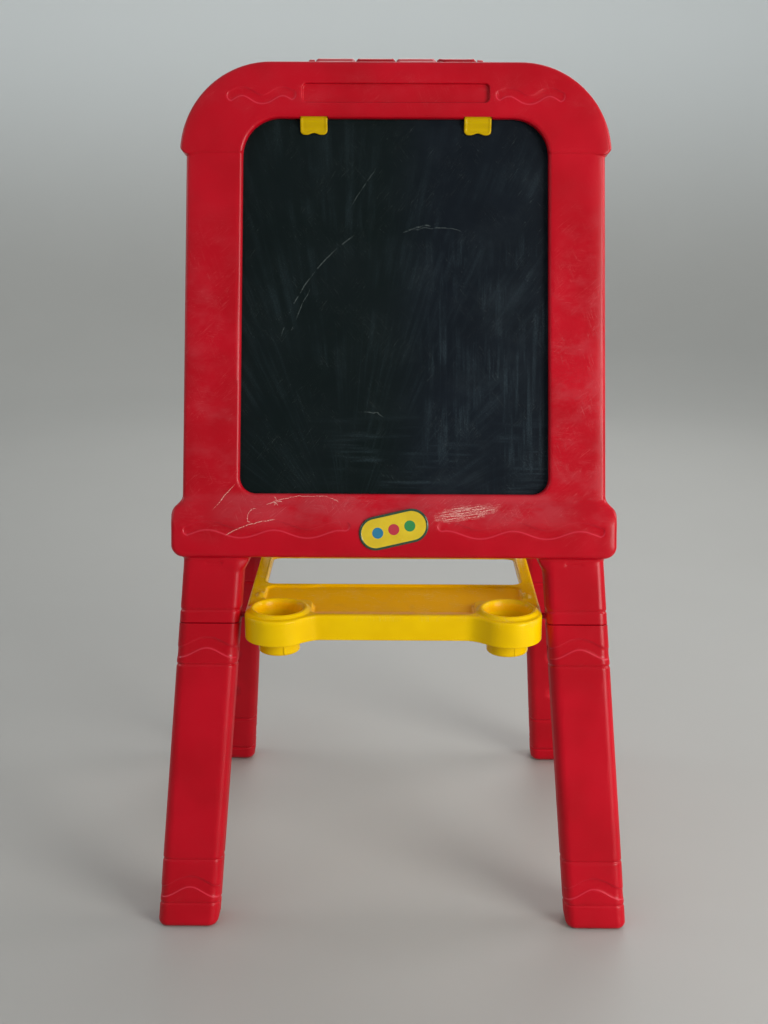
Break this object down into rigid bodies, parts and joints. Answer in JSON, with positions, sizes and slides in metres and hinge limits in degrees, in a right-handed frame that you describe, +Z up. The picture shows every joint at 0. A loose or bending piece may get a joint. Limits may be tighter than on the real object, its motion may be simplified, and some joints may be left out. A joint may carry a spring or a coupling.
{
  "type": "kids easel",
  "caption": "Free-standing double-sided children's easel: hinged plastic frames on splayed plug-on legs, a chalkboard, a dry-wipe board, paper clips and a cup tray between the legs.",
  "frame": {"origin": "on the floor, at the middle of the four feet, under the hinge", "axes": "+Z up, +Y from the chalkboard side to the dry-wipe side, +X to the right of someone who faces the chalkboard"},
  "size_m": [0.6122, 0.565, 1.095],
  "materials": {
    "red_plastic": "semi-gloss moulded polyethylene",
    "yellow_plastic": "glossy moulded polyethylene",
    "chalkboard_black": "matt writing surface with rolled rim",
    "dry_wipe_white": "glossy writing surface with rolled rim",
    "zinc_steel": "zinc plated"
  },
  "bodies": {
    "front_side": {"front_frame": "red_plastic", "chalkboard": "chalkboard_black", "front_left_lower_leg": "red_plastic", "front_left_leg_screw": "zinc_steel", "front_board_screw_left_top": "zinc_steel", "front_board_screw_left_middle": "zinc_steel", "front_board_screw_left_bottom": "zinc_steel", "front_right_lower_leg": "red_plastic", "front_right_leg_screw": "zinc_steel", "front_board_screw_right_top": "zinc_steel", "front_board_screw_right_middle": "zinc_steel", "front_board_screw_right_bottom": "zinc_steel", "badge": "yellow_plastic", "hinge_pin": "zinc_steel", "hinge_cap_left": "red_plastic", "hinge_cap_right": "red_plastic"},
    "rear_side": {"rear_frame": "red_plastic", "dry_wipe_board": "dry_wipe_white", "rear_left_lower_leg": "red_plastic", "rear_left_leg_screw": "zinc_steel", "rear_board_screw_left_top": "zinc_steel", "rear_board_screw_left_middle": "zinc_steel", "rear_board_screw_left_bottom": "zinc_steel", "rear_right_lower_leg": "red_plastic", "rear_right_leg_screw": "zinc_steel", "rear_board_screw_right_top": "zinc_steel", "rear_board_screw_right_middle": "zinc_steel", "rear_board_screw_right_bottom": "zinc_steel"},
    "tray": {"tray": "yellow_plastic"},
    "front_left_clip": {"front_left_paper_clip": "yellow_plastic"},
    "front_right_clip": {"front_right_paper_clip": "yellow_plastic"},
    "rear_left_clip": {"rear_left_paper_clip": "yellow_plastic"},
    "rear_right_clip": {"rear_right_paper_clip": "yellow_plastic"}
  },
  "joints": [
    {"name": "fold", "type": "hinge", "parent": "front_side", "child": "rear_side", "pos_m": [0, 0, 1.084], "axis": [-1, 0, 0], "range_deg": [0, 24]},
    {"name": "tray_lift", "type": "slide", "parent": "front_side", "child": "tray", "axis": [0, 0, 1], "range_m": [0, 0.03]},
    {"name": "front_left_clip_lift", "type": "hinge", "parent": "front_side", "child": "front_left_clip", "pos_m": [-0.104, -0.05553, 1.02534], "axis": [-1, 0, 0], "range_deg": [0, 20], "stiffness_Nm_per_rad": 0.1, "springref_deg": -11.46},
    {"name": "front_right_clip_lift", "type": "hinge", "parent": "front_side", "child": "front_right_clip", "pos_m": [0.104, -0.05553, 1.02534], "axis": [-1, 0, 0], "range_deg": [0, 20], "stiffness_Nm_per_rad": 0.1, "springref_deg": -11.46},
    {"name": "rear_left_clip_lift", "type": "hinge", "parent": "rear_side", "child": "rear_left_clip", "pos_m": [-0.104, 0.05553, 1.02534], "axis": [1, 0, 0], "range_deg": [0, 20], "stiffness_Nm_per_rad": 0.1, "springref_deg": -11.46},
    {"name": "rear_right_clip_lift", "type": "hinge", "parent": "rear_side", "child": "rear_right_clip", "pos_m": [0.104, 0.05553, 1.02534], "axis": [1, 0, 0], "range_deg": [0, 20], "stiffness_Nm_per_rad": 0.1, "springref_deg": -11.46}
  ]
}
